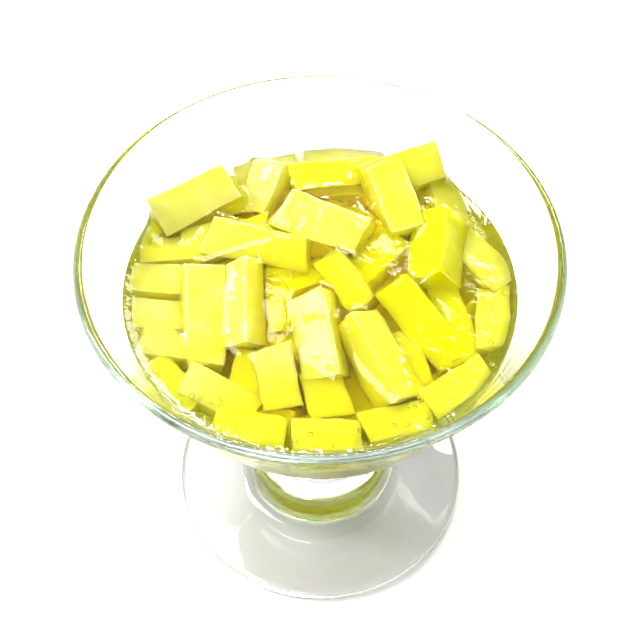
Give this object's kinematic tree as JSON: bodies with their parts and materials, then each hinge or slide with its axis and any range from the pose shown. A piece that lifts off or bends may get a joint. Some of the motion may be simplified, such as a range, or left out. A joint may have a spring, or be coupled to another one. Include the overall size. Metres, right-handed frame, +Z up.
{
  "type": "jelly batons in syrup in a footed glass dish",
  "caption": "Footed clear glass dessert dish filled with cut yellow jelly batons heaped in clear yellow syrup.",
  "frame": {"origin": "middle of the foot's flat underside, which rests on the table", "axes": "+Z up the dish's axis, towards its rim; +Y towards the back of the heap, where its highest batons lie; +X to the right"},
  "size_m": [0.104, 0.104, 0.098],
  "materials": {
    "dish_glass": "clear, polished",
    "jelly": "translucent, wet gloss",
    "syrup": "clear yellow liquid"
  },
  "bodies": {
    "root": {"glass_dish": "dish_glass", "jelly_heap": "jelly", "syrup": "syrup"}
  },
  "joints": []
}
